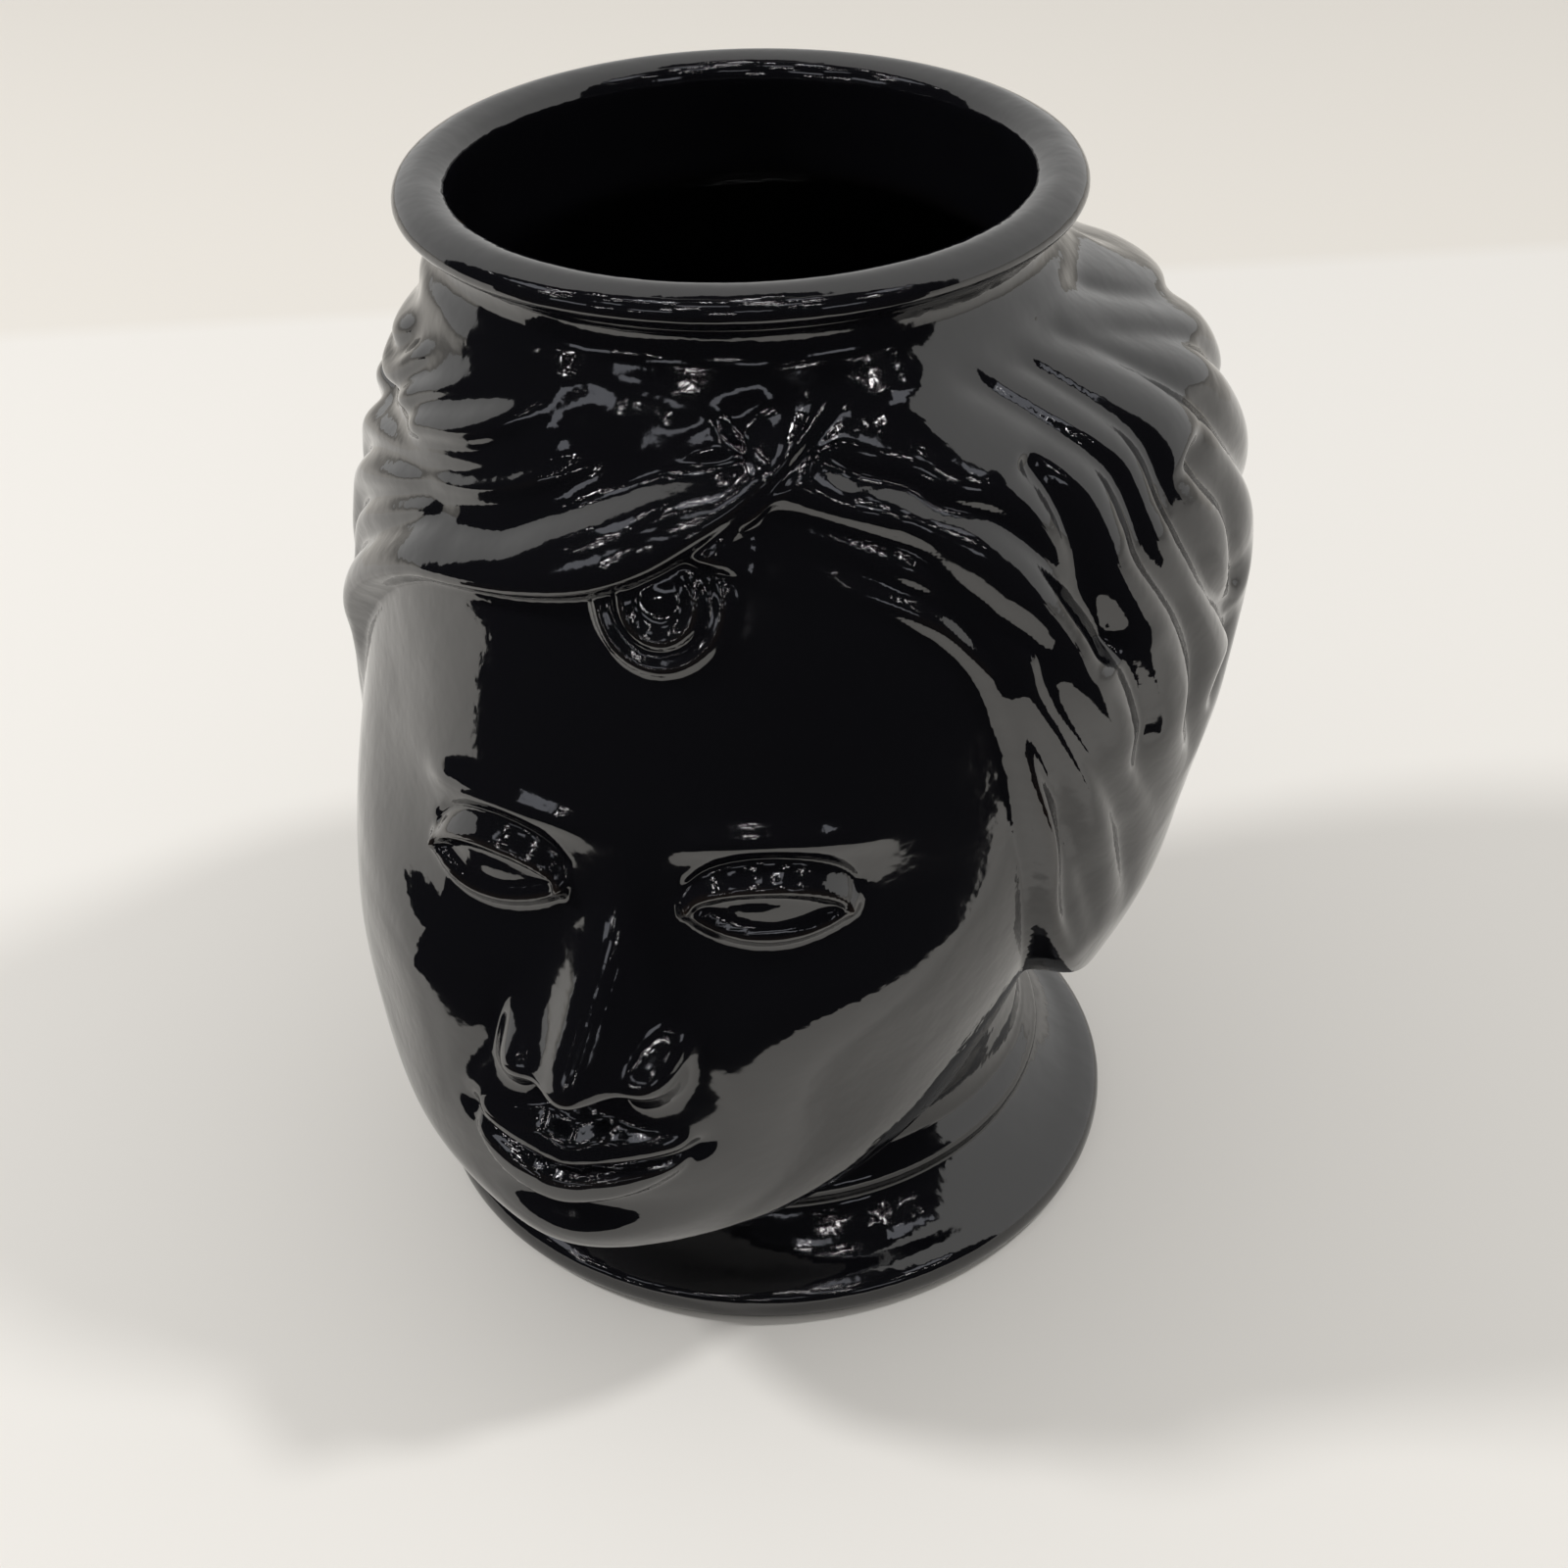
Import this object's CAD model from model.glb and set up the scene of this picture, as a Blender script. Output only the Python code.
"""The face vase as it looks: a hollow head with swept hair, in thick black glaze, on a pale table.

The glazed surface is one grid of rings round the vertical axis, from the middle of the underside, up
the outside, over the lip and down the inside to the floor. The grid is then cut into one piece per
section of the vase, and the pieces share their normals, so the glaze runs on over the joints. Lengths
are in millimetres until a mesh, a card or a light is made, which are in metres.
"""

import bpy
import numpy as np
from mathutils import Matrix, Vector


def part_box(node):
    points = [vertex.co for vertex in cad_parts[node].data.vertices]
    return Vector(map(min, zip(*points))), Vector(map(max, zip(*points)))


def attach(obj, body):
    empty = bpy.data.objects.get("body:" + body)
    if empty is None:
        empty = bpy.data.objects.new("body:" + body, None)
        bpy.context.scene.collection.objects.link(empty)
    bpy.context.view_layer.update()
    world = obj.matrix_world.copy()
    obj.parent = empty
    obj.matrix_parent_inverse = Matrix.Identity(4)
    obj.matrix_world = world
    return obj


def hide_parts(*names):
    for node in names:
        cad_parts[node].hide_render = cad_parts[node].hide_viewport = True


MM = 0.001
PHOTO_PX = 1600

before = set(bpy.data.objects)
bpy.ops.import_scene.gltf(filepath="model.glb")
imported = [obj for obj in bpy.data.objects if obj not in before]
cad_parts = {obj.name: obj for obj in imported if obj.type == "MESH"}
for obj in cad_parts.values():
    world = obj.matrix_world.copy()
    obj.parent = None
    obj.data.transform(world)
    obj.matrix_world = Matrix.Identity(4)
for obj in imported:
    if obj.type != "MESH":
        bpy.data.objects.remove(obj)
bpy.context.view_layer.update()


def extent(node, axis):
    """A node's lowest and highest place along an axis, in millimetres."""
    low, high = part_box(node)
    return low[axis] / MM, high[axis] / MM


# Turned parts, from the frame
foot_top = extent("foot", 2)[1]
foot_radius = extent("foot", 0)[1]
neck_top = extent("neck", 2)[1]
neck_bead_radius = extent("neck", 0)[1]
collar_low, collar_top = extent("collar", 2)
collar_radius = extent("collar", 0)[1]
lip_radius = extent("lip", 0)[1]
lip_top = extent("lip", 2)[1]

# Sizes that the nodes' boxes don't show, as in the source of the solids: the turned parts' own
neck_radius = 38.0
mouth_radius = 35.0
wall = 4.6
bore_radius = neck_radius - wall
foot_recess = 3.0
foot_ring_width = 7.5
floor_height = 8.0

# The head's, the face's and the hair's
head_half_width = 53.0
head_front = 67.5
head_back = 64.5
head_lean = 3.4
chin_height = 28.0
face_tall = 90.0
hair_thick = 3.6
hair_crown_extra = 3.2
hair_right_extra = 6.2
hair_parting_drop = 1.6
hair_sink = 3.0
hair_at_collar = 0.7
hair_shoulder_tall = 14.0
hair_edge_round = 3.4
roll_proud = 1.6
roll_height = 52.0
roll_half_tall = 11.0

head_bottom = neck_top
head_tall = collar_low - head_bottom
face_third = face_tall / 3
brow_height = chin_height + 2 * face_third
nose_base_height = chin_height + face_third
eye_height = brow_height - face_third / 4
mouth_height = chin_height + face_third * 2 / 3

# The valleys between locks: depth and half width on the fringe, on the long side and at the back, and
# the rounding of their bottoms
FRINGE_VALLEY = (3.3, 1.9)
LONG_VALLEY = (3.0, 1.9)
BACK_VALLEY = (2.8, 2.1)
valley_round = 0.5

# How finely the surface is sampled, and how much its columns crowd towards the face
COLUMNS = 560
HEAD_ROWS = 280
INSIDE_ROWS = 60
FRONT_CROWDING = 0.42

# The bare head's sections, as shares: front reach and height, back reach and height, half width, lean
HEAD_ROW_SHARES = [
    (0.650, 0.014, 0.589, 0.043, 0.728, -0.30),
    (0.820, 0.026, 0.594, 0.095, 0.764, -0.90),
    (0.947, 0.052, 0.620, 0.155, 0.830, -1.30),
    (0.995, 0.100, 0.674, 0.220, 0.887, -1.45),
    (1.000, 0.164, 0.736, 0.284, 0.930, -1.35),
    (0.985, 0.233, 0.806, 0.353, 0.962, -1.10),
    (0.955, 0.306, 0.868, 0.418, 0.981, -0.75),
    (0.919, 0.379, 0.919, 0.483, 0.994, -0.40),
    (0.885, 0.453, 0.961, 0.547, 1.000, 0.00),
    (0.864, 0.526, 0.989, 0.608, 1.000, 0.40),
    (0.839, 0.599, 1.000, 0.668, 0.992, 0.65),
    (0.812, 0.672, 0.989, 0.728, 0.974, 0.85),
    (0.776, 0.746, 0.946, 0.789, 0.940, 0.95),
    (0.727, 0.819, 0.868, 0.849, 0.892, 0.85),
    (0.676, 0.888, 0.775, 0.908, 0.836, 0.55),
    (0.626, 0.948, 0.679, 0.959, 0.777, 0.20),
]

# The hair's lower edges: azimuth in degrees from the face towards +X, height as a share of the head's
FRINGE_EDGE_SHARES = [
    (36, 0.985), (29, 0.950), (22, 0.914), (14, 0.875), (5, 0.832), (-4, 0.803), (-14, 0.785),
    (-24, 0.770), (-34, 0.750), (-45, 0.705), (-55, 0.645), (-63, 0.575), (-69, 0.500),
    (-74, 0.422), (-80, 0.320), (-90, 0.235), (-105, 0.190), (-120, 0.175), (-135, 0.165),
    (-150, 0.160), (-165, 0.155), (-180, 0.155),
]
RIGHT_EDGE_SHARES = [
    (2, 0.850), (9, 0.842), (16, 0.828), (24, 0.812), (33, 0.790), (40, 0.755), (45, 0.705),
    (49, 0.625), (52, 0.500), (56, 0.345), (62, 0.240), (70, 0.180), (80, 0.145), (92, 0.125),
    (105, 0.115), (120, 0.120), (135, 0.130), (150, 0.142), (165, 0.150), (180, 0.155),
]

# The camera that took the photograph, from its lip and foot circles
CAMERA_TURN = 17.0
CAMERA_BACK = 269.0
CAMERA_UP = 250.0
CAMERA_ASIDE = 3.2
CAMERA_PITCH = 35.71
CAMERA_ROLL = -1.59
CAMERA_LENS = 52.9
SENSOR = 36.0

# The studio, in metres: the table, the line where it meets the wall, and the room the glaze reflects
TABLE_HALF = 3.0
WALL_LINE_TURN = CAMERA_TURN + 4.2
WALL_LINE_NEAR = 0.296
WALL_LINE_FAR = 0.306
AIM_HEIGHT = 0.06
ROOM_CENTRE_HEIGHT = 0.08
ROOM_RADIUS = 1.0
PANEL_RADIUS = 0.95
SMALL_LAMP_RADIUS = 0.93
SMALL_LAMP_SIDES = 8
DARK_TABLE_NEAR = 0.165
DARK_TABLE_FAR = 1.02
DARK_TABLE_COLUMNS = 19

# The valleys between the locks: first their places in the photograph's pixels, then, out of its sight,
# azimuths in degrees and heights as shares of the head's
FRINGE_VALLEYS_PX = [
    ([(828, 371), (792, 399), (764, 431), (740, 455)], []),
    (
        [(804, 455), (732, 487), (671, 497), (611, 517), (551, 535), (499, 549), (451, 547), (410, 539)],
        [(-62, 0.69), (-70, 0.56), (-77, 0.42), (-83, 0.30)],
    ),
    (
        [(752, 431), (692, 455), (635, 479), (587, 503), (531, 519), (475, 525), (430, 519), (402, 511)],
        [(-64, 0.74), (-74, 0.63), (-83, 0.48), (-92, 0.32), (-96, 0.24)],
    ),
    (
        [(676, 419), (635, 447), (587, 467), (531, 481), (491, 491), (451, 491), (410, 483)],
        [(-68, 0.79), (-80, 0.69), (-93, 0.53), (-105, 0.34), (-110, 0.23)],
    ),
    (
        [(619, 391), (587, 423), (555, 447), (511, 461), (467, 467), (422, 459), (394, 451)],
        [(-74, 0.83), (-88, 0.74), (-104, 0.59), (-118, 0.38), (-125, 0.22)],
    ),
    (
        [(555, 371), (531, 387), (491, 407), (451, 417), (410, 419), (382, 423)],
        [(-80, 0.87), (-98, 0.79), (-118, 0.63), (-134, 0.42), (-142, 0.24)],
    ),
    (
        [(503, 347), (471, 367), (430, 377), (402, 387), (378, 399)],
        [(-88, 0.90), (-108, 0.83), (-130, 0.67), (-148, 0.46), (-158, 0.26)],
    ),
    (
        [(467, 326), (434, 326), (406, 338), (386, 355)],
        [(-98, 0.93), (-120, 0.87), (-143, 0.71), (-160, 0.52), (-171, 0.30)],
    ),
    ([(416, 254), (406, 274), (390, 294)], [(-112, 0.95), (-133, 0.90), (-156, 0.76), (-176, 0.54)]),
]
RIGHT_VALLEYS_PX = [
    (
        [(735, 589), (793, 618), (865, 645), (928, 662), (991, 686), (1030, 715)],
        [(56, 0.55), (59, 0.40), (64, 0.28)],
    ),
    (
        [(720, 560), (778, 575), (846, 599), (914, 618), (982, 642), (1011, 662), (1049, 705),
         (1059, 764)],
        [(62, 0.42), (68, 0.28)],
    ),
    (
        [(749, 536), (817, 555), (890, 570), (953, 584), (991, 609), (1030, 638), (1079, 676),
         (1103, 735)],
        [(70, 0.42), (77, 0.28)],
    ),
    (
        [(822, 483), (880, 507), (938, 514), (972, 529), (1030, 541), (1079, 579), (1122, 633),
         (1156, 681), (1173, 735), (1173, 783), (1200, 844)],
        [],
    ),
    (
        [(962, 354), (991, 376), (1035, 410), (1088, 444), (1132, 483), (1156, 531), (1171, 570),
         (1200, 618), (1214, 672), (1209, 725), (1207, 773)],
        [],
    ),
    (
        [(1006, 328), (1049, 361), (1098, 391), (1142, 429), (1166, 463), (1185, 507),
         (1209, 555), (1229, 599), (1238, 638), (1251, 686), (1255, 735)],
        [],
    ),
    (
        [(1035, 303), (1069, 328), (1117, 344), (1156, 364), (1185, 391), (1214, 420), (1236, 453)],
        [(112, 0.62), (122, 0.42), (128, 0.24)],
    ),
    ([(1137, 344), (1185, 342), (1209, 357), (1234, 391)], [(122, 0.72), (136, 0.50), (146, 0.28)]),
    (
        [(1059, 279), (1088, 280), (1137, 286), (1180, 303)],
        [(128, 0.85), (146, 0.70), (158, 0.48), (166, 0.26)],
    ),
    ([(1192, 451), (1214, 483), (1234, 512), (1243, 560), (1258, 599)], []),
    ([(1045, 463), (1079, 507), (1103, 550), (1122, 599), (1142, 638), (1156, 676)], []),
]
BACK_VALLEY_SHARES = [
    [(118, 0.965), (138, 0.92), (156, 0.80), (169, 0.58), (176, 0.34)],
    [(148, 0.965), (163, 0.91), (175, 0.80)],
    [(-140, 0.965), (-158, 0.92), (-173, 0.82)],
]


def smooth(share):
    """0 below 0, 1 above 1, and an S between."""
    share = np.clip(share, 0.0, 1.0)
    return share * share * (3 - 2 * share)


def bump(distance, half_width):
    """A rounded bump: 1 at no distance and about a third at half_width."""
    return np.exp(-((distance / half_width) ** 2))


def higher(first, second, round_off):
    """The higher of two reliefs, with the corner between them rounded."""
    return 0.5 * (first + second + np.sqrt((first - second) ** 2 + round_off**2))


def eased(points, places):
    """A smooth curve through points, one per row, at places counted in rows."""
    points = np.asarray(points, float)
    last = len(points) - 1
    row = np.clip(np.floor(places).astype(int), 0, last - 1)
    share = (places - row)[:, None]
    before, here = points[np.maximum(row - 1, 0)], points[row]
    after, later = points[row + 1], points[np.minimum(row + 2, last)]
    slope, next_slope, rise = (after - before) / 2, (later - here) / 2, after - here
    return here + share * (
        slope + share * (3 * rise - 2 * slope - next_slope + share * (slope + next_slope - 2 * rise))
    )


# The bare head


def head_table():
    """The bare head's rows in millimetres, from the neck's ring to the collar's."""
    scale = np.array([head_front, head_tall, head_back, head_tall, head_half_width, head_lean])
    start = np.array([0, head_bottom, 0, head_bottom, 0, 0])
    rows = np.array(HEAD_ROW_SHARES) * scale + start
    first = [neck_radius, head_bottom, neck_radius, head_bottom, neck_radius, 0]
    last = [collar_radius, collar_low, collar_radius, collar_low, collar_radius, 0]
    return np.vstack([first, rows, last])


HEAD_TABLE = head_table()


def skin(azimuth, places):
    """The bare head's reach, height and lean: a row per place, a column per azimuth in radians."""
    front, front_height, back, back_height, half_width, lean = eased(HEAD_TABLE, places).T[:, :, None]
    tilt = (back_height - front_height) / (front + back)
    height = front_height + tilt * front
    side, ahead = np.sin(azimuth)[None, :], np.cos(azimuth)[None, :]
    across = side / half_width
    along = ahead / np.where(ahead > 0, front, back)
    shift = lean / half_width
    square = across**2 + along**2
    reach = (across * shift + np.sqrt(across**2 * shift**2 - square * (shift**2 - 1))) / square
    return reach, height - tilt * reach * ahead, lean


DENSE_PLACES = np.linspace(0, len(HEAD_TABLE) - 1, 240)


def skin_reach(azimuth, height):
    """The bare head's reach at each pair of azimuth in radians and height."""
    reach, level, _ = skin(azimuth, DENSE_PLACES)
    return np.array([np.interp(h, level[:, i], reach[:, i]) for i, h in enumerate(height)])


def at_axis(azimuth, reach, height):
    """Points in space from azimuths, reaches and heights."""
    return np.stack(
        [reach * np.sin(azimuth), -reach * np.cos(azimuth), height + 0 * azimuth], axis=-1
    )


def head_places():
    """Places of the head's rings, spaced by the longer of the front's and the side's steps."""
    fine = np.linspace(0, len(HEAD_TABLE) - 1, 3000)
    reach, level, _ = skin(np.array([0.0, 1.2]), fine)
    step = np.hypot(np.diff(reach, axis=0), np.diff(level, axis=0)).max(axis=1)
    along = np.concatenate([[0], np.cumsum(step)])
    return np.interp(np.linspace(0, along[-1], HEAD_ROWS), along, fine)


# The camera


def camera_axes():
    """The camera's place, and its right, up and forward directions, in the frame."""
    pitch, roll = np.radians(CAMERA_PITCH), np.radians(CAMERA_ROLL)
    forward = Vector((0, np.cos(pitch), -np.sin(pitch)))
    level_right, level_up = Vector((1, 0, 0)), Vector((0, np.sin(pitch), np.cos(pitch)))
    right = level_right * np.cos(roll) + level_up * np.sin(roll)
    up = level_up * np.cos(roll) - level_right * np.sin(roll)
    turn = Matrix.Rotation(np.radians(CAMERA_TURN), 3, "Z")
    place = turn @ Vector((CAMERA_ASIDE, -CAMERA_BACK, CAMERA_UP))
    return place, turn @ right, turn @ up, turn @ forward


def make_camera():
    """The photograph's camera."""
    place, right, up, forward = camera_axes()
    data = bpy.data.cameras.new("photo_camera")
    data.sensor_width = SENSOR
    data.lens = CAMERA_LENS
    data.clip_start = 0.01
    camera = bpy.data.objects.new("photo_camera", data)
    camera.matrix_world = Matrix(
        (
            (right.x, up.x, -forward.x, place.x * MM),
            (right.y, up.y, -forward.y, place.y * MM),
            (right.z, up.z, -forward.z, place.z * MM),
            (0, 0, 0, 1),
        )
    )
    bpy.context.scene.collection.objects.link(camera)
    bpy.context.scene.camera = camera


def under_pixel(pixel, proud):
    """Where a pixel of the photograph meets the head, proud over its skin: azimuth and height share."""
    place, right, up, forward = (np.array(v) for v in camera_axes())
    focal = CAMERA_LENS / SENSOR * PHOTO_PX
    across, down = (pixel[0] - PHOTO_PX / 2) / focal, (pixel[1] - PHOTO_PX / 2) / focal
    ray = forward + across * right - down * up
    points = place + np.linspace(150, 460, 1200)[:, None] * ray / np.linalg.norm(ray)
    reach = np.hypot(points[:, 0], points[:, 1])
    near = (reach < 1.3 * head_front) & (points[:, 2] > head_bottom) & (points[:, 2] < collar_low + wall)
    points, reach = points[near], reach[near]
    azimuth = np.arctan2(points[:, 0], -points[:, 1])
    gap = reach - skin_reach(azimuth, points[:, 2]) - proud
    first = np.argmax(gap <= 0) if (gap <= 0).any() else np.argmin(gap)
    return np.degrees(azimuth[first]), (points[first, 2] - head_bottom) / head_tall


# Relief of the face and hair


def line_on_skin(points):
    """Close points along a smooth line on the bare head, through azimuths and height shares."""
    points = np.array(points, float)
    places = np.linspace(0, len(points) - 1, 24 * len(points))
    azimuth, share = eased(points, places).T
    azimuth, height = np.radians(azimuth), head_bottom + share * head_tall
    return at_axis(azimuth, skin_reach(azimuth, height), height)


def distance_to(line, surface, reach_out):
    """Each surface point's distance to a line, and how far along it, 0 to 1, the nearest place is."""
    gap = np.full(surface.shape[:2], np.inf)
    along = np.zeros(surface.shape[:2])
    low, high = line.min(axis=0) - reach_out, line.max(axis=0) + reach_out
    near = ((surface > low) & (surface < high)).all(axis=-1)
    points = surface[near]
    for start in range(0, len(points), 20000):
        some = points[start : start + 20000]
        square = ((some[:, None, :] - line[None, :, :]) ** 2).sum(axis=-1)
        nearest = square.argmin(axis=1)
        points_gap = np.sqrt(square[np.arange(len(some)), nearest])
        index = np.flatnonzero(near.ravel())[start : start + 20000]
        gap.ravel()[index] = points_gap
        along.ravel()[index] = nearest / (len(line) - 1)
    return gap, along


def nose(x, z):
    """Bridge, tip, wings and nostrils."""
    down = (brow_height - z) / (brow_height - nose_base_height)
    rise = smooth(down / 0.92) * (1 - smooth((down - 0.9) / 0.2))
    bridge = 8.7 * rise * bump(x, 4.0 + 1.6 * smooth(down))
    tip = 1.3 * bump(x, 5.6) * bump(z - nose_base_height - 4.6, 4.6)
    wings = 4.4 * bump(abs(x) - 8.4, 3.6) * bump(z - nose_base_height - 2.8, 3.8)
    nostrils = 2.2 * bump(abs(x) - 4.2, 1.9) * bump(z - nose_base_height + 0.6, 1.5)
    crease = 0.9 * bump(abs(x) - 12.6, 1.5) * bump(z - nose_base_height - 3.6, 3.8)
    return bridge + tip + wings - nostrils - crease


def eyes(x, z):
    """Sockets, eyeballs between their lids, and the folds over them."""
    out = (abs(x) - 17.0) / 9.2
    rise = z - eye_height + 0.5 * out
    socket = 4.2 * bump(out, 1.5) * bump(rise - 0.5, 8.2)
    lid_line = 4.3 * np.clip(1 - out**2, 0, None) ** 0.72
    low_line = -3.0 * np.clip(1 - out**2, 0, None) ** 0.8
    inside = smooth((1.15 - abs(out)) / 0.2)
    ball = 4.5 * bump(out, 1.05) * bump(rise - 0.4, 5.8)
    upper_lid = 1.5 * bump(rise - lid_line, 1.15) * inside
    lower_lid = 0.95 * bump(rise - low_line, 0.95) * inside
    fold = 0.9 * bump(rise - lid_line - 3.0, 0.9) * inside
    opening = 0.55 * inside * smooth((lid_line - rise) / 1.4) * smooth((rise - low_line) / 1.2)
    return ball - socket + upper_lid + lower_lid - fold - opening


def brows(x, z):
    """The ridge over each eye, with a softly raised brow on it."""
    out = abs(x) - 17.0
    arch = brow_height + 1.5 - 0.011 * (out + 2) ** 2
    ridge = 2.0 * bump(out, 13.0) * bump(z - brow_height, 6.5)
    brow = 0.8 * smooth((14 - abs(out)) / 6) * bump(z - arch - 1.0, 1.8)
    return ridge + brow + 0.8 * bump(x, 7.0) * bump(z - brow_height - 2.0, 5.5)


def mouth(x, z):
    """Two closed lips, the line between them, the groove over them and the dip under them."""
    side = abs(x) / 14.0
    line = mouth_height + 0.9 * np.clip(side, 0, 1.2) ** 2 - 0.6 * bump(x, 3.0)
    taper = np.clip(1 - side**2, 0, None) ** 0.6
    mound = 2.6 * bump(x, 15.0) * bump(z - mouth_height, 9.5)
    bow = 3.0 + 0.9 * bump(abs(x) - 3.6, 2.6)
    upper = 2.3 * taper * smooth((z - line) / 0.8) * (1 - smooth((z - line - bow * taper - 0.4) / 1.6))
    lower = 2.9 * taper * smooth((line - z) / 0.8) * (1 - smooth((line - z - 4.6 * taper + 0.2) / 2.4))
    parting = 0.6 * bump(z - line, 0.75) * smooth((1.12 - side) / 0.12)
    corners = 0.8 * bump(side - 1.06, 0.12) * bump(z - line, 1.8)
    groove_rows = smooth((z - mouth_height - 5) / 2) * (1 - smooth((z - nose_base_height) / 2))
    groove = 0.7 * bump(x, 1.9) * groove_rows
    under = 1.6 * bump(x, 9.0) * bump(z - mouth_height + 8.2, 2.6)
    return mound + upper + lower - parting - corners - groove - under


def cheeks_and_chin(x, z):
    """Cheekbones, the soft folds from the nose to the mouth's corners, and the ball of the chin."""
    out = abs(x) - 26.0
    bones = 2.6 * bump(out, 13.0) * bump(z - nose_base_height - 9, 13.0)
    hollow = 1.2 * bump(abs(x) - 31.0, 8.0) * bump(z - mouth_height - 2, 12.0)
    fold_line = 13.0 + 0.42 * (nose_base_height + 3 - z)
    folds = 0.7 * bump(abs(x) - fold_line, 2.2) * bump(z - nose_base_height + 2.0, 7.5)
    chin = 3.2 * bump(x, 11.5) * bump(z - chin_height - 6.5, 6.5)
    return bones - hollow - folds + chin


def face_relief(azimuth, reach, height, lean):
    """How far the face stands proud of the bare head."""
    x = reach * np.sin(azimuth)[None, :] - lean
    fade = smooth((np.cos(azimuth) - 0.05) / 0.3)[None, :]
    temples = 1.4 * bump(abs(x) - 38, 9) * bump(height - brow_height - 4, 14)
    total = nose(x, height) + eyes(x, height) + brows(x, height) + mouth(x, height)
    return fade * (total + cheeks_and_chin(x, height) - temples)


def edge_height(table, azimuth):
    """The height of a hair edge over azimuths in degrees."""
    points = np.array(sorted(table), float)
    return head_bottom + np.interp(azimuth, points[:, 0], points[:, 1]) * head_tall


def hair_thickness(azimuth, share, height):
    """The hair's thickness over the head, at share of the way up from its lower edge."""
    right = bump(azimuth - 105, 45)
    roll = roll_proud * bump(height - roll_height, roll_half_tall) * smooth((abs(azimuth) - 55) / 40)
    crown = hair_crown_extra * share * (1 - right / 2)
    full = hair_thick + crown + hair_right_extra * right + roll
    full = full - 0.6 * bump(180 - abs(azimuth), 45)
    shoulder = smooth((collar_low - height) / hair_shoulder_tall)
    return hair_at_collar + (full - hair_at_collar) * shoulder


def side_relief(azimuth, height, edge, gap, drop):
    """One side's hair, which rounds down into the skin at its edge, gap away."""
    share = np.clip((height - edge) / (collar_low - edge), 0, 1)
    thick = hair_thickness(azimuth, share, height) - drop
    inward = np.where(height > edge, gap, -gap)
    rise = np.sin(np.pi / 2 * smooth((inward + hair_edge_round / 3) / (4 / 3 * hair_edge_round)))
    return (thick + hair_sink) * rise - hair_sink


def valleys():
    """Every valley: a line on the skin, its depth and half width, and whether it cuts left and right."""
    lines = []
    for pixels, beyond in FRINGE_VALLEYS_PX:
        points = [under_pixel(pixel, hair_thick) for pixel in pixels] + beyond
        lines.append((line_on_skin(points), *FRINGE_VALLEY, 1, 0))
    for pixels, beyond in RIGHT_VALLEYS_PX:
        proud = hair_thick + hair_right_extra / 2
        points = [under_pixel(pixel, proud) for pixel in pixels] + beyond
        lines.append((line_on_skin(points), *LONG_VALLEY, 0, 1))
    for points in BACK_VALLEY_SHARES:
        lines.append((line_on_skin(points), *BACK_VALLEY, 1, 1))
    return lines


def curl_relief(azimuth, reach, height, lean):
    """The crescent curl on the forehead: two nested raised arcs, their ends under the fringe."""
    middle = head_bottom + 0.815 * head_tall
    x = reach * np.sin(azimuth)[None, :] - lean - 1.6
    from_middle = np.hypot(x, height - middle)
    open_top = smooth((middle + 3.5 - height) / 3.0)
    arcs = sum(proud * bump(from_middle - radius, 1.0) for radius, proud in ((7.2, 1.1), (4.2, 1.3)))
    return arcs * open_top + 0.7 * bump(from_middle, 6.5) * open_top


def softened(relief, passes):
    """Relief with its sharp corners filled, as thick glaze fills them."""
    relief = relief.copy()
    for _ in range(passes):
        relief = (np.roll(relief, 1, axis=1) + 2 * relief + np.roll(relief, -1, axis=1)) / 4
        relief[1:-1] = (relief[:-2] + 2 * relief[1:-1] + relief[2:]) / 4
    return relief


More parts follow.
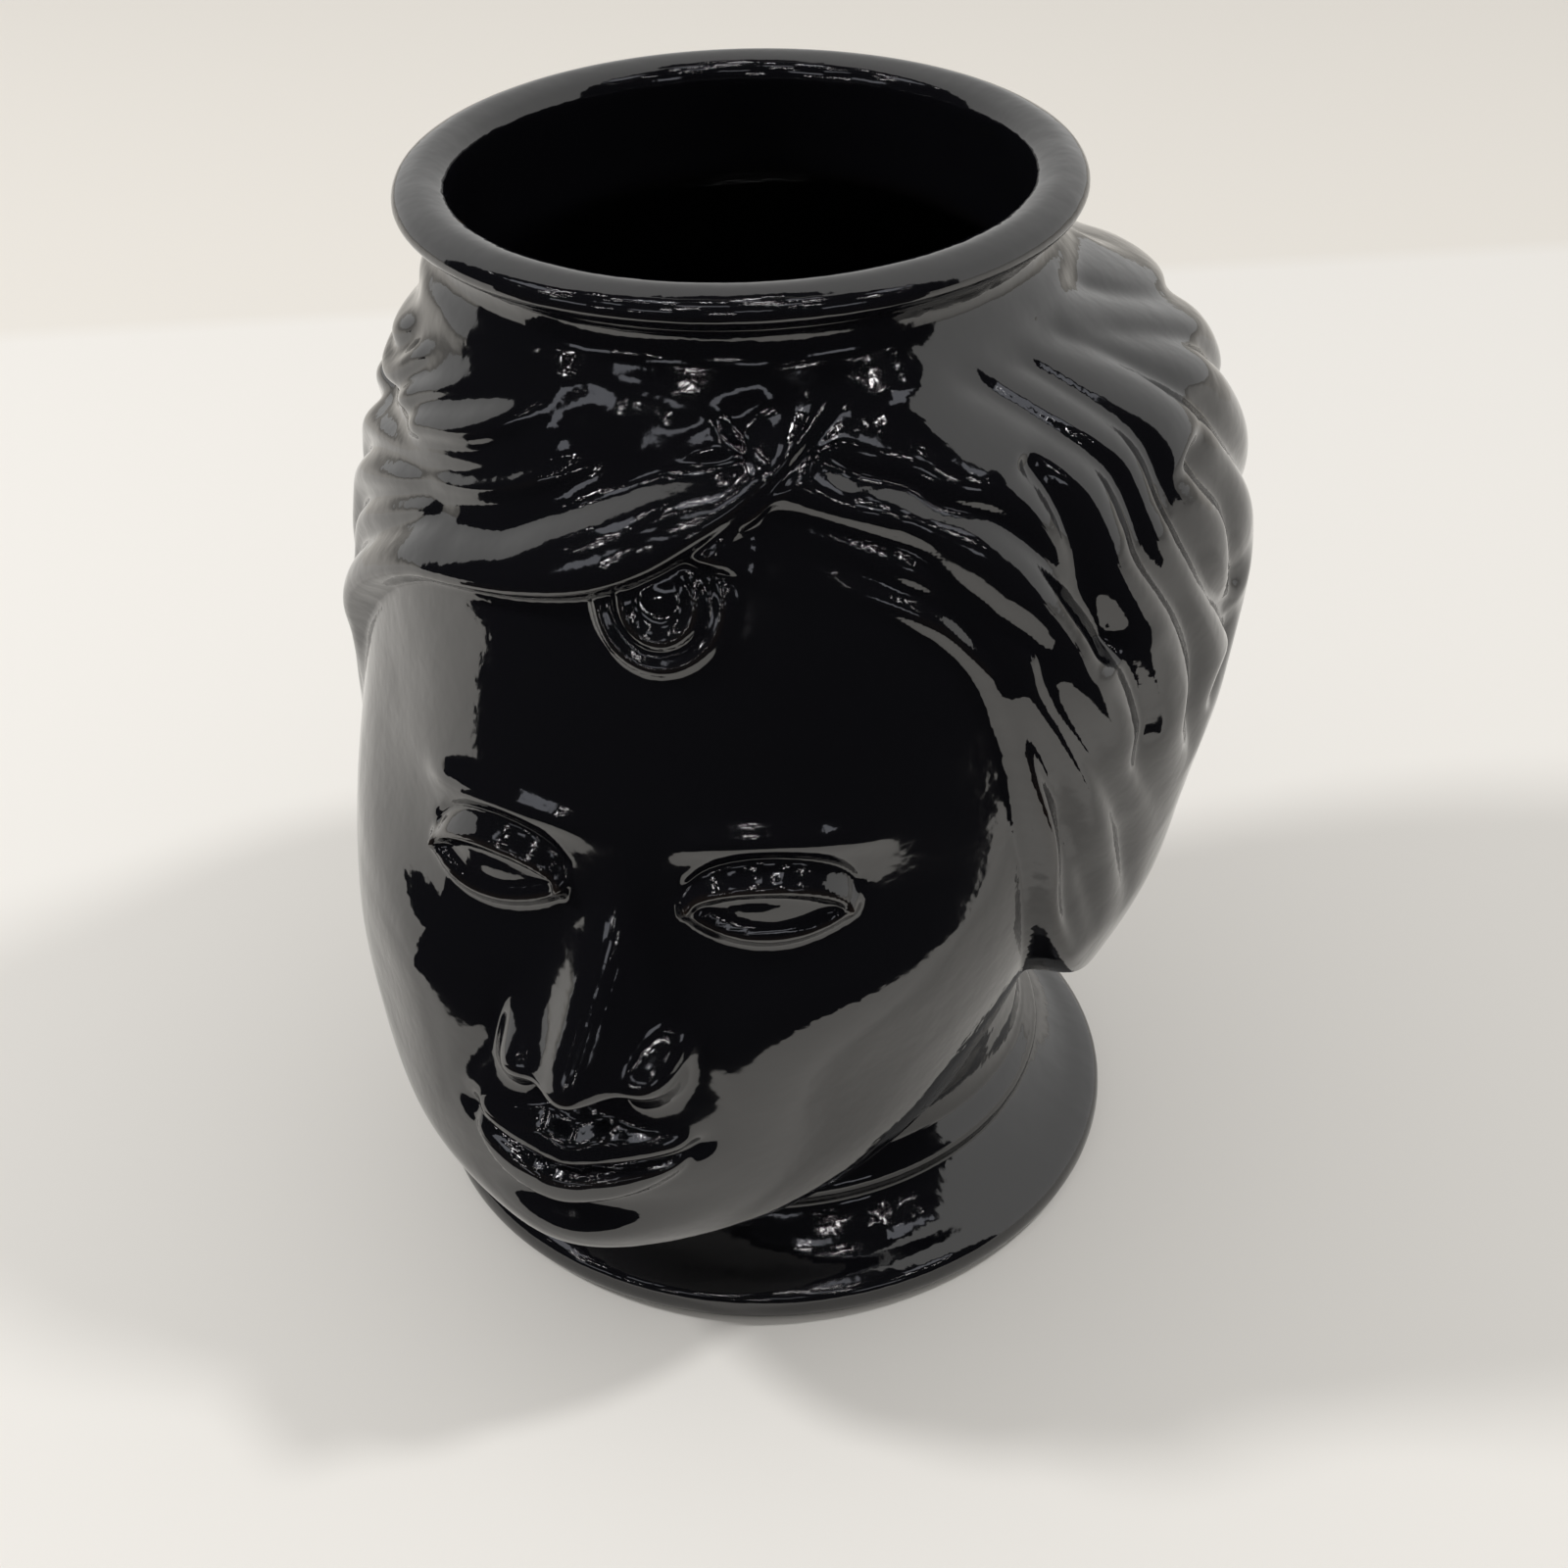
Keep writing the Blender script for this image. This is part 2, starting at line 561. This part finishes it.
def head_rings(azimuth):
    """The head's rings: each point's reach and height, and its part: 0 face, 1 fringe, 2 long side."""
    places = head_places()
    reach, height, lean = skin(azimuth, places)
    surface = at_axis(azimuth[None, :], reach, height)
    degrees = np.degrees(azimuth)[None, :] + 0 * height
    around = np.where(degrees > 40, degrees - 360, degrees)
    fringe = edge_height(FRINGE_EDGE_SHARES, around)
    right = edge_height(RIGHT_EDGE_SHARES, degrees)
    fringe_gap, _ = distance_to(line_on_skin(FRINGE_EDGE_SHARES), surface, 8)
    right_gap, _ = distance_to(line_on_skin(RIGHT_EDGE_SHARES), surface, 8)
    on_left = (height > fringe) & (degrees <= 36)
    on_right = (height > right) & (degrees >= 2) & ~on_left
    parting = hair_parting_drop * smooth((48 - degrees) / 24)
    left_relief = side_relief(around, height, fringe, fringe_gap, 0)
    left_relief = np.where(degrees <= 36, left_relief, -hair_sink)
    right_relief = side_relief(degrees, height, right, right_gap, parting)
    right_relief = np.where(degrees >= 2, right_relief, -hair_sink)
    inner_left = np.where(on_left, smooth(fringe_gap / 3), 0)
    inner_right = np.where(on_right, smooth(right_gap / 3), 0)
    for line, deep, half_width, on_fringe, on_long in valleys():
        gap, along = distance_to(line, surface, 4 * half_width)
        ends = smooth(along / 0.12) * smooth((1 - along) / 0.12)
        rounded = np.sqrt(gap**2 + valley_round**2) - valley_round
        cut = deep * ends * np.exp(-rounded / half_width)
        left_relief = left_relief - on_fringe * cut * inner_left
        right_relief = right_relief - on_long * cut * inner_right
    right_relief = right_relief - 2 * hair_thick * np.where(on_left, smooth(fringe_gap / 3), 0)
    hair = softened(higher(left_relief, right_relief, 0.3), 2)
    shoulder = smooth((collar_low - height) / 5)
    hair = hair * shoulder + hair_at_collar * (1 - shoulder)
    bare = face_relief(azimuth, reach, height, lean) * smooth((height - head_bottom) / 8)
    bare = bare + curl_relief(azimuth, reach, height, lean)
    proud = softened(higher(bare, hair, 0.7), 1)
    side = np.where(hair > bare, np.where(on_left, 1, 2), 0)
    return reach + proud, height, side


# The turned parts


def turned(points, rows):
    """Rings of a turned profile, on a smooth curve through its points, evenly spaced along it."""
    fine = eased(points, np.linspace(0, len(points) - 1, 60 * len(points)))
    along = np.concatenate([[0], np.cumsum(np.hypot(*np.diff(fine, axis=0).T))])
    even = np.linspace(0, along[-1], rows)
    return np.stack([np.interp(even, along, fine[:, 0]), np.interp(even, along, fine[:, 1])], axis=1)


def underside():
    """The recess under the foot and its foot ring."""
    ring_inner = foot_radius - foot_ring_width
    return turned(
        [
            (0.4, foot_recess),
            (ring_inner / 2, foot_recess),
            (ring_inner - 2.4, foot_recess),
            (ring_inner - 0.6, foot_recess - 0.7),
            (ring_inner + 0.6, 0.3),
            (ring_inner + 1.8, 0.0),
            (foot_radius - 3.4, 0.0),
        ],
        40,
    )


def foot_outside():
    """The rounded edge and the cove up to the neck."""
    return turned(
        [
            (foot_radius - 3.4, 0.0),
            (foot_radius - 1.5, 0.3),
            (foot_radius - 0.3, 1.5),
            (foot_radius, 3.0),
            (foot_radius - 0.5, 4.6),
            (foot_radius - 2.3, 5.7),
            (foot_radius - 5.2, 6.9),
            (foot_radius - 8.0, 8.9),
            (neck_bead_radius - 0.8, foot_top - 1.2),
            (neck_bead_radius - 0.6, foot_top),
        ],
        46,
    )


def neck_outside():
    """The bead and the neck over it."""
    return turned(
        [
            (neck_bead_radius - 0.6, foot_top),
            (neck_bead_radius - 0.05, foot_top + 1.0),
            (neck_bead_radius - 0.2, foot_top + 2.3),
            (neck_bead_radius - 1.3, foot_top + 3.7),
            (neck_radius + 0.4, foot_top + 5.4),
            (neck_radius, foot_top + 7.6),
            (neck_radius, head_bottom),
        ],
        26,
    )


def collar_outside():
    """The waisted collar, and the fine groove under the lip."""
    return turned(
        [
            (collar_radius + hair_at_collar, collar_low),
            (collar_radius - 0.3, collar_low + 1.2),
            (collar_radius - 0.9, collar_low + 3.0),
            (collar_radius - 0.6, collar_low + 4.8),
            (collar_radius - 0.1, collar_top - 0.5),
            (collar_radius - 0.3, collar_top),
        ],
        20,
    )


def lip_bead():
    """The rolled lip, from its groove over the crown to the mouth."""
    crown = (mouth_radius + lip_radius) / 2
    return turned(
        [
            (collar_radius - 0.3, collar_top),
            (collar_radius + 0.9, collar_top + 0.1),
            (lip_radius - 1.1, collar_top + 0.7),
            (lip_radius - 0.05, collar_top + 2.1),
            (lip_radius - 0.7, lip_top - 1.1),
            (crown + 0.8, lip_top - 0.1),
            (crown - 0.9, lip_top - 0.15),
            (mouth_radius + 0.8, lip_top - 1.0),
            (mouth_radius + 0.05, lip_top - 2.6),
            (mouth_radius, collar_top),
        ],
        40,
    )


def inside_rings(azimuth):
    """The collar's bore, the head's inner wall, the neck's bore and the floor."""
    levels = np.linspace(collar_low, head_bottom + 6, INSIDE_ROWS)
    under, over = (
        np.stack([skin_reach(azimuth, np.full_like(azimuth, h + aside)) for h in levels])
        for aside in (-wall, wall)
    )
    reach = np.maximum(np.minimum(under, over) - wall, bore_radius)
    to_neck = smooth((levels - head_bottom - 6) / 4)[:, None]
    to_mouth = smooth((collar_low - levels) / 10)[:, None]
    reach = bore_radius + (reach - bore_radius) * to_neck
    reach = mouth_radius + (reach - mouth_radius) * to_mouth
    floor = turned(
        [
            (bore_radius, head_bottom + 5),
            (bore_radius, foot_top),
            (bore_radius - 0.5, floor_height + 1.4),
            (bore_radius - 3, floor_height),
            (bore_radius / 2, floor_height),
            (0.4, floor_height),
        ],
        22,
    )
    return reach, levels[:, None] + 0 * reach, floor


def whole_surface():
    """The vase's grid: azimuths, reaches, heights, each ring's label, and the head's parts."""
    turns = 2 * np.pi * np.arange(COLUMNS) / COLUMNS - np.pi
    azimuth = turns - FRONT_CROWDING * np.sin(turns)
    flat = np.ones(COLUMNS)
    reaches, heights, labels = [], [], []

    def add_turned(label, profile):
        reaches.append(profile[:, :1] * flat)
        heights.append(profile[:, 1:] * flat)
        labels.extend([label] * len(profile))

    add_turned("foot", underside())
    add_turned("foot", foot_outside()[1:])
    add_turned("neck", neck_outside()[1:])
    reach, height, side = head_rings(azimuth)
    reaches.append(reach[1:])
    heights.append(height[1:])
    first_head = len(labels)
    labels.extend(["head"] * (len(reach) - 1))
    add_turned("collar", collar_outside()[1:])
    add_turned("lip", lip_bead()[1:])
    add_turned("collar", np.linspace((mouth_radius, collar_top - 1), (mouth_radius, collar_low + 1), 5))
    reach, height, floor = inside_rings(azimuth)
    reaches.append(reach)
    heights.append(height)
    labels.extend(["inside"] * len(reach))
    add_turned("floor", floor)
    sides = np.zeros((len(labels), COLUMNS), int)
    sides[first_head : first_head + len(side) - 1] = side[1:]
    return azimuth, np.vstack(reaches), np.vstack(heights), np.array(labels), sides


def melted(reach, height, labels):
    """The surface with its joints softened, as thick glaze softens them."""
    weight = np.zeros(len(labels))
    for index in np.flatnonzero(labels[1:] != labels[:-1]):
        near = bump(np.arange(len(labels)) - index, 7.0)
        if {labels[index], labels[index + 1]} & {"head"}:
            weight = np.maximum(weight, near)
    weight = weight[1:-1, None]
    for _ in range(14):
        for grid in (reach, height):
            middle = (grid[:-2] + grid[2:]) / 2
            grid[1:-1] += 0.5 * weight * (middle - grid[1:-1])
    return reach, height


# Meshes


def shared_normals(points):
    """Outward normals of the whole grid of points."""
    along = np.gradient(points, axis=0)
    round_about = (np.roll(points, -1, axis=1) - np.roll(points, 1, axis=1)) / 2
    normals = np.cross(round_about, along)
    length = np.linalg.norm(normals, axis=-1, keepdims=True)
    return normals / np.maximum(length, 1e-12)


def make_piece(name, node, faces, points, normals, material):
    """One piece from some of the grid's quads, standing for a node and riding on its body."""
    used, index = np.unique(faces, return_inverse=True)
    mesh = bpy.data.meshes.new(name)
    mesh.from_pydata((points[used] * MM).tolist(), [], index.reshape(faces.shape).tolist())
    mesh.polygons.foreach_set("use_smooth", [True] * len(faces))
    mesh.materials.append(material)
    mesh.update()
    mesh.normals_split_custom_set_from_vertices(normals[used].tolist())
    piece = bpy.data.objects.new(name, mesh)
    bpy.context.scene.collection.objects.link(piece)
    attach(piece, "root")
    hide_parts(*node)
    return piece


def make_vase(material):
    """The whole vase, cut into one piece per node."""
    azimuth, reach, height, labels, sides = whole_surface()
    reach, height = melted(reach, height, labels)
    height = np.maximum(height, 0)
    points = at_axis(azimuth[None, :], reach, height)
    normals = shared_normals(points)
    rows, columns = reach.shape
    row, column = np.meshgrid(np.arange(rows - 1), np.arange(columns), indexing="ij")
    following = (column + 1) % columns
    quads = np.stack(
        [row * columns + column, row * columns + following, (row + 1) * columns + following,
         (row + 1) * columns + column],
        axis=-1,
    )
    quad_label, quad_side = labels[1:][row], sides[:-1][row, column]
    flat_points, flat_normals = points.reshape(-1, 3), normals.reshape(-1, 3)

    def piece(name, nodes, chosen):
        make_piece(name, nodes, quads[chosen], flat_points, flat_normals, material)

    head = quad_label == "head"
    piece("glazed_foot", ["foot"], (quad_label == "foot") | (quad_label == "floor"))
    piece("glazed_neck", ["neck"], quad_label == "neck")
    piece("glazed_face", ["head", "forehead_curl"], (head & (quad_side == 0)) | (quad_label == "inside"))
    piece("glazed_fringe", ["hair_left"], head & (quad_side == 1))
    piece("glazed_long_hair", ["hair_right"], head & (quad_side == 2))
    piece("glazed_collar", ["collar"], quad_label == "collar")
    piece("glazed_lip", ["lip"], quad_label == "lip")


# Materials


def new_material(name):
    """An empty node material, its node tree and its Principled shader."""
    material = bpy.data.materials.new(name)
    material.use_nodes = True
    nodes = material.node_tree.nodes
    return material, material.node_tree, nodes["Principled BSDF"]


def make_glaze():
    """Thick black glaze: mirror-like, with faint ripples, and browner where it thins over ridges."""
    material, tree, shader = new_material("black_glaze")
    nodes, link = tree.nodes, tree.links.new
    place = nodes.new("ShaderNodeTexCoord")
    ridges = nodes.new("ShaderNodeNewGeometry")
    thin = nodes.new("ShaderNodeValToRGB")
    thin.color_ramp.elements[0].position = 0.52
    thin.color_ramp.elements[0].color = (0.0035, 0.0035, 0.0045, 1)
    thin.color_ramp.elements[1].position = 0.64
    thin.color_ramp.elements[1].color = (0.020, 0.013, 0.008, 1)
    link(ridges.outputs["Pointiness"], thin.inputs["Fac"])
    link(thin.outputs["Color"], shader.inputs["Base Color"])
    haze = nodes.new("ShaderNodeTexNoise")
    haze.inputs["Scale"].default_value = 55
    haze.inputs["Detail"].default_value = 6
    rough = nodes.new("ShaderNodeMapRange")
    rough.inputs["From Min"].default_value = 0.35
    rough.inputs["From Max"].default_value = 0.75
    rough.inputs["To Min"].default_value = 0.035
    rough.inputs["To Max"].default_value = 0.11
    link(place.outputs["Object"], haze.inputs["Vector"])
    link(haze.outputs["Fac"], rough.inputs["Value"])
    link(rough.outputs["Result"], shader.inputs["Roughness"])
    ripple = nodes.new("ShaderNodeTexNoise")
    ripple.inputs["Scale"].default_value = 120
    ripple.inputs["Detail"].default_value = 3
    pits = nodes.new("ShaderNodeTexNoise")
    pits.inputs["Scale"].default_value = 900
    pits.inputs["Detail"].default_value = 2
    waves = nodes.new("ShaderNodeBump")
    waves.inputs["Strength"].default_value = 0.35
    waves.inputs["Distance"].default_value = 0.0007
    grain = nodes.new("ShaderNodeBump")
    grain.inputs["Strength"].default_value = 0.10
    grain.inputs["Distance"].default_value = 0.0001
    for noise, relief in ((ripple, waves), (pits, grain)):
        link(place.outputs["Object"], noise.inputs["Vector"])
        link(noise.outputs["Fac"], relief.inputs["Height"])
    link(waves.outputs["Normal"], grain.inputs["Normal"])
    link(grain.outputs["Normal"], shader.inputs["Normal"])
    shader.inputs["IOR"].default_value = 1.80
    return material


def make_table_material():
    """A pale matt table top, a shade darker past a soft line, as where a table meets a wall."""
    material, tree, shader = new_material("pale_table")
    nodes, link = tree.nodes, tree.links.new
    place = nodes.new("ShaderNodeTexCoord")
    turned_place = nodes.new("ShaderNodeMapping")
    turned_place.inputs["Rotation"].default_value = (0, 0, np.radians(-WALL_LINE_TURN))
    split = nodes.new("ShaderNodeSeparateXYZ")
    line = nodes.new("ShaderNodeMapRange")
    line.inputs["From Min"].default_value = WALL_LINE_NEAR
    line.inputs["From Max"].default_value = WALL_LINE_FAR
    tone = nodes.new("ShaderNodeValToRGB")
    tone.color_ramp.elements[0].color = (0.83, 0.805, 0.765, 1)
    tone.color_ramp.elements[1].color = (0.79, 0.755, 0.700, 1)
    link(place.outputs["Object"], turned_place.inputs["Vector"])
    link(turned_place.outputs["Vector"], split.inputs["Vector"])
    link(split.outputs["Y"], line.inputs["Value"])
    link(line.outputs["Result"], tone.inputs["Fac"])
    link(tone.outputs["Color"], shader.inputs["Base Color"])
    shader.inputs["Roughness"].default_value = 0.85
    return material


def make_plain(name, color, strength):
    """A plain emitter, for the cards and lamps that only the glaze reflects."""
    material = bpy.data.materials.new(name)
    material.use_nodes = True
    nodes = material.node_tree.nodes
    nodes.remove(nodes["Principled BSDF"])
    emitter = nodes.new("ShaderNodeEmission")
    emitter.inputs["Color"].default_value = (*color, 1)
    emitter.inputs["Strength"].default_value = strength
    material.node_tree.links.new(emitter.outputs["Emission"], nodes["Material Output"].inputs["Surface"])
    return material


# The studio


def stage_mesh(name, points, faces, material, reflected_only):
    """A floor, card or lamp, in metres. Cards and lamps show only in reflections."""
    mesh = bpy.data.meshes.new(name)
    mesh.from_pydata([tuple(p) for p in points], [], faces)
    mesh.materials.append(material)
    made = bpy.data.objects.new(name, mesh)
    bpy.context.scene.collection.objects.link(made)
    if reflected_only:
        made.visible_camera = False
        made.visible_diffuse = False
        made.visible_shadow = False
    return made


def toward(azimuth, elevation, distance):
    """A point in metres, by degrees from the camera's side of the vase and above the table."""
    turn = np.radians(CAMERA_TURN + azimuth)
    rise = np.radians(elevation)
    return Vector(
        (
            distance * np.cos(rise) * np.sin(turn),
            -distance * np.cos(rise) * np.cos(turn),
            distance * np.sin(rise) + ROOM_CENTRE_HEIGHT,
        )
    )


def make_floor():
    """The table top."""
    half = TABLE_HALF
    corners = [(-half, -half, 0), (half, -half, 0), (half, half, 0), (-half, half, 0)]
    stage_mesh("table_top", corners, [(0, 1, 2, 3)], make_table_material(), False)


def make_dark_side():
    """The dark room on the camera's side: part of a dome, and the table's dark end in front."""
    dark = make_plain("dark_room", (0.012, 0.012, 0.014), 1.0)
    azimuths = np.linspace(-104, 68, 35)
    elevations = np.linspace(-6, 104, 23)
    points = [toward(a, e, ROOM_RADIUS) for e in elevations for a in azimuths]
    wide = len(azimuths)
    faces = [
        (i * wide + j, i * wide + j + 1, (i + 1) * wide + j + 1, (i + 1) * wide + j)
        for i in range(len(elevations) - 1)
        for j in range(wide - 1)
    ]
    stage_mesh("dark_room_card", points, faces, dark, True)
    wide = DARK_TABLE_COLUMNS
    apron = []
    for distance, waviness in ((DARK_TABLE_NEAR, 0.10), (DARK_TABLE_FAR, 0)):
        for azimuth in np.linspace(-82, 60, wide):
            turn = np.radians(CAMERA_TURN + azimuth)
            reach = distance * (1 + waviness * np.sin(np.radians(5 * azimuth)))
            apron.append((reach * np.sin(turn), -reach * np.cos(turn), MM))
    faces = [(i, i + 1, i + wide + 1, i + wide) for i in range(wide - 1)]
    stage_mesh("dark_table_end", apron, faces, dark, True)


def make_panels():
    """Dim panels in the dark room, which draw grey streaks along the locks and the features."""
    points, faces = [], []
    for left, right, low, high in (
        (-66, -44, 66, 74),
        (-30, -12, 56, 61),
        (-8, 14, 80, 88),
        (10, 24, 50, 55),
        (30, 52, 70, 78),
        (-92, -76, 40, 50),
        (52, 64, 46, 56),
        (-50, -40, 38, 43),
        (-62, -48, 14, 20),
        (-34, -22, 25, 30),
        (-4, 8, 30, 34),
        (24, 36, 16, 22),
    ):
        faces.append(tuple(range(len(points), len(points) + 4)))
        corners = ((left, low), (right, low), (right, high), (left, high))
        points += [toward(azimuth, elevation, PANEL_RADIUS) for azimuth, elevation in corners]
    stage_mesh("dim_panels", points, faces, make_plain("dim_panel", (0.80, 0.82, 0.90), 1.1), True)


def make_sparkles():
    """Clusters of small lamps in the dark room, which make the glaze's points of light."""
    random = np.random.default_rng(5)
    points, faces = [], []
    for azimuth, elevation, spread, count in (
        (-48, 62, 7.0, 18),
        (-20, 44, 4.0, 16),
        (6, 72, 6.0, 18),
        (-66, 34, 5.0, 14),
        (22, 38, 4.0, 12),
        (-30, 88, 6.0, 14),
        (34, 62, 5.0, 12),
        (-5, 20, 3.0, 9),
        (48, 40, 5.0, 10),
        (-84, 56, 6.0, 12),
        (12, 56, 3.0, 9),
        (-38, 14, 4.0, 8),
    ):
        for _ in range(count):
            out = random.normal(size=2) * spread
            centre = toward(azimuth + out[0], elevation + out[1], SMALL_LAMP_RADIUS)
            axis = centre.normalized()
            side = axis.orthogonal().normalized()
            other = axis.cross(side)
            radius = random.uniform(0.0025, 0.0075)
            start = len(points)
            for corner in range(SMALL_LAMP_SIDES):
                angle = 2 * np.pi * corner / SMALL_LAMP_SIDES
                points.append(centre + radius * (side * np.cos(angle) + other * np.sin(angle)))
            faces.append(tuple(range(start, start + SMALL_LAMP_SIDES)))
    glow = make_plain("small_lamp", (1.0, 0.97, 0.98), 34.0)
    stage_mesh("small_lamps", points, faces, glow, True)


def make_soft_light(name, azimuth, elevation, distance, size, power):
    """A soft area light aimed at the vase, seen by the table but not in the glaze."""
    data = bpy.data.lights.new(name, "AREA")
    data.shape = "DISK"
    data.size = size
    data.energy = power
    light = bpy.data.objects.new(name, data)
    light.location = toward(azimuth, elevation, distance)
    aim = Vector((0, 0, AIM_HEIGHT)) - light.location
    light.rotation_euler = aim.to_track_quat("-Z", "Y").to_euler()
    light.visible_glossy = False
    bpy.context.scene.collection.objects.link(light)


def make_world():
    """A pale, even surrounding."""
    world = bpy.data.worlds.new("pale_room")
    world.use_nodes = True
    tree = world.node_tree
    background = tree.nodes["Background"]
    background.inputs["Color"].default_value = (0.96, 0.95, 0.93, 1)
    path = tree.nodes.new("ShaderNodeLightPath")
    seen = tree.nodes.new("ShaderNodeMath")
    seen.operation = "ADD"
    strength = tree.nodes.new("ShaderNodeMapRange")
    strength.inputs["To Min"].default_value = 0.58
    strength.inputs["To Max"].default_value = 0.80
    tree.links.new(path.outputs["Is Camera Ray"], seen.inputs[0])
    tree.links.new(path.outputs["Is Glossy Ray"], seen.inputs[1])
    tree.links.new(seen.outputs["Value"], strength.inputs["Value"])
    tree.links.new(strength.outputs["Result"], background.inputs["Strength"])
    bpy.context.scene.world = world


make_vase(make_glaze())
make_camera()
make_floor()
make_dark_side()
make_panels()
make_sparkles()
make_soft_light("lamp_from_right", azimuth=88, elevation=57, distance=1.2, size=0.15, power=4.4)
make_soft_light("lamp_from_left", azimuth=-92, elevation=40, distance=1.3, size=0.20, power=8.0)
make_world()
bpy.context.scene.view_settings.view_transform = "Standard"
